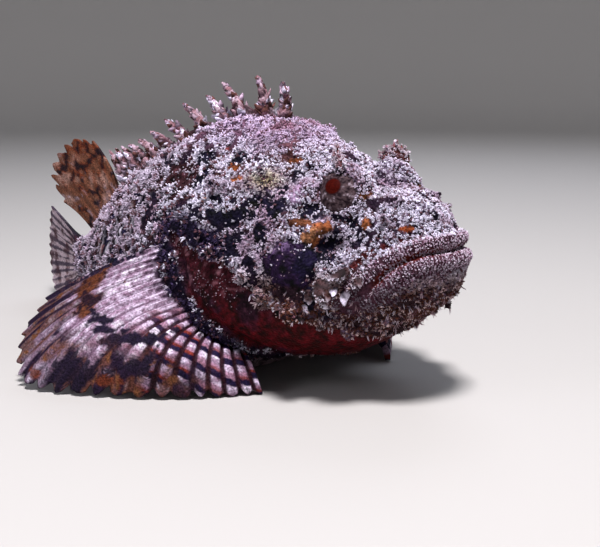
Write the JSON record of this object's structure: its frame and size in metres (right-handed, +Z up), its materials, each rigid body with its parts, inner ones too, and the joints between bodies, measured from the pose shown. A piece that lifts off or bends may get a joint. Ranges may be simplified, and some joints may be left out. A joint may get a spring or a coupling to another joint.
{
  "type": "false stonefish",
  "caption": "Life-size false stonefish (humpbacked scorpionfish) resting on its belly, breast fins spread on the floor, tail bent to its left.",
  "frame": {"origin": "on the floor, under the centre of the fish's bounding box", "axes": "+X towards the head, +Y to the fish's left, +Z up"},
  "size_m": [0.2286, 0.1494, 0.0972],
  "materials": {
    "skin": "mottled skin under pale skin filaments",
    "gill_cover": "smooth maroon skin with pale specks",
    "fin": "rayed fin skin with dark and pale bands",
    "back_fin": "thick skin over spines, with flaps",
    "eye": "wet eye"
  },
  "bodies": {
    "root": {"head": "skin", "lower_jaw": "skin", "torso": "skin", "tail_stalk": "skin", "gill_cover_right": "gill_cover", "gill_cover_left": "gill_cover", "eye_right": "eye", "eye_left": "eye", "eye_tentacle_right": "skin", "eye_tentacle_left": "skin", "pectoral_fin_right": "fin", "pectoral_fin_left": "fin", "pelvic_fin_right": "fin", "pelvic_fin_left": "fin", "dorsal_fin_spiny": "back_fin", "dorsal_fin_soft": "fin", "anal_fin": "fin", "caudal_fin": "fin"}
  },
  "joints": []
}
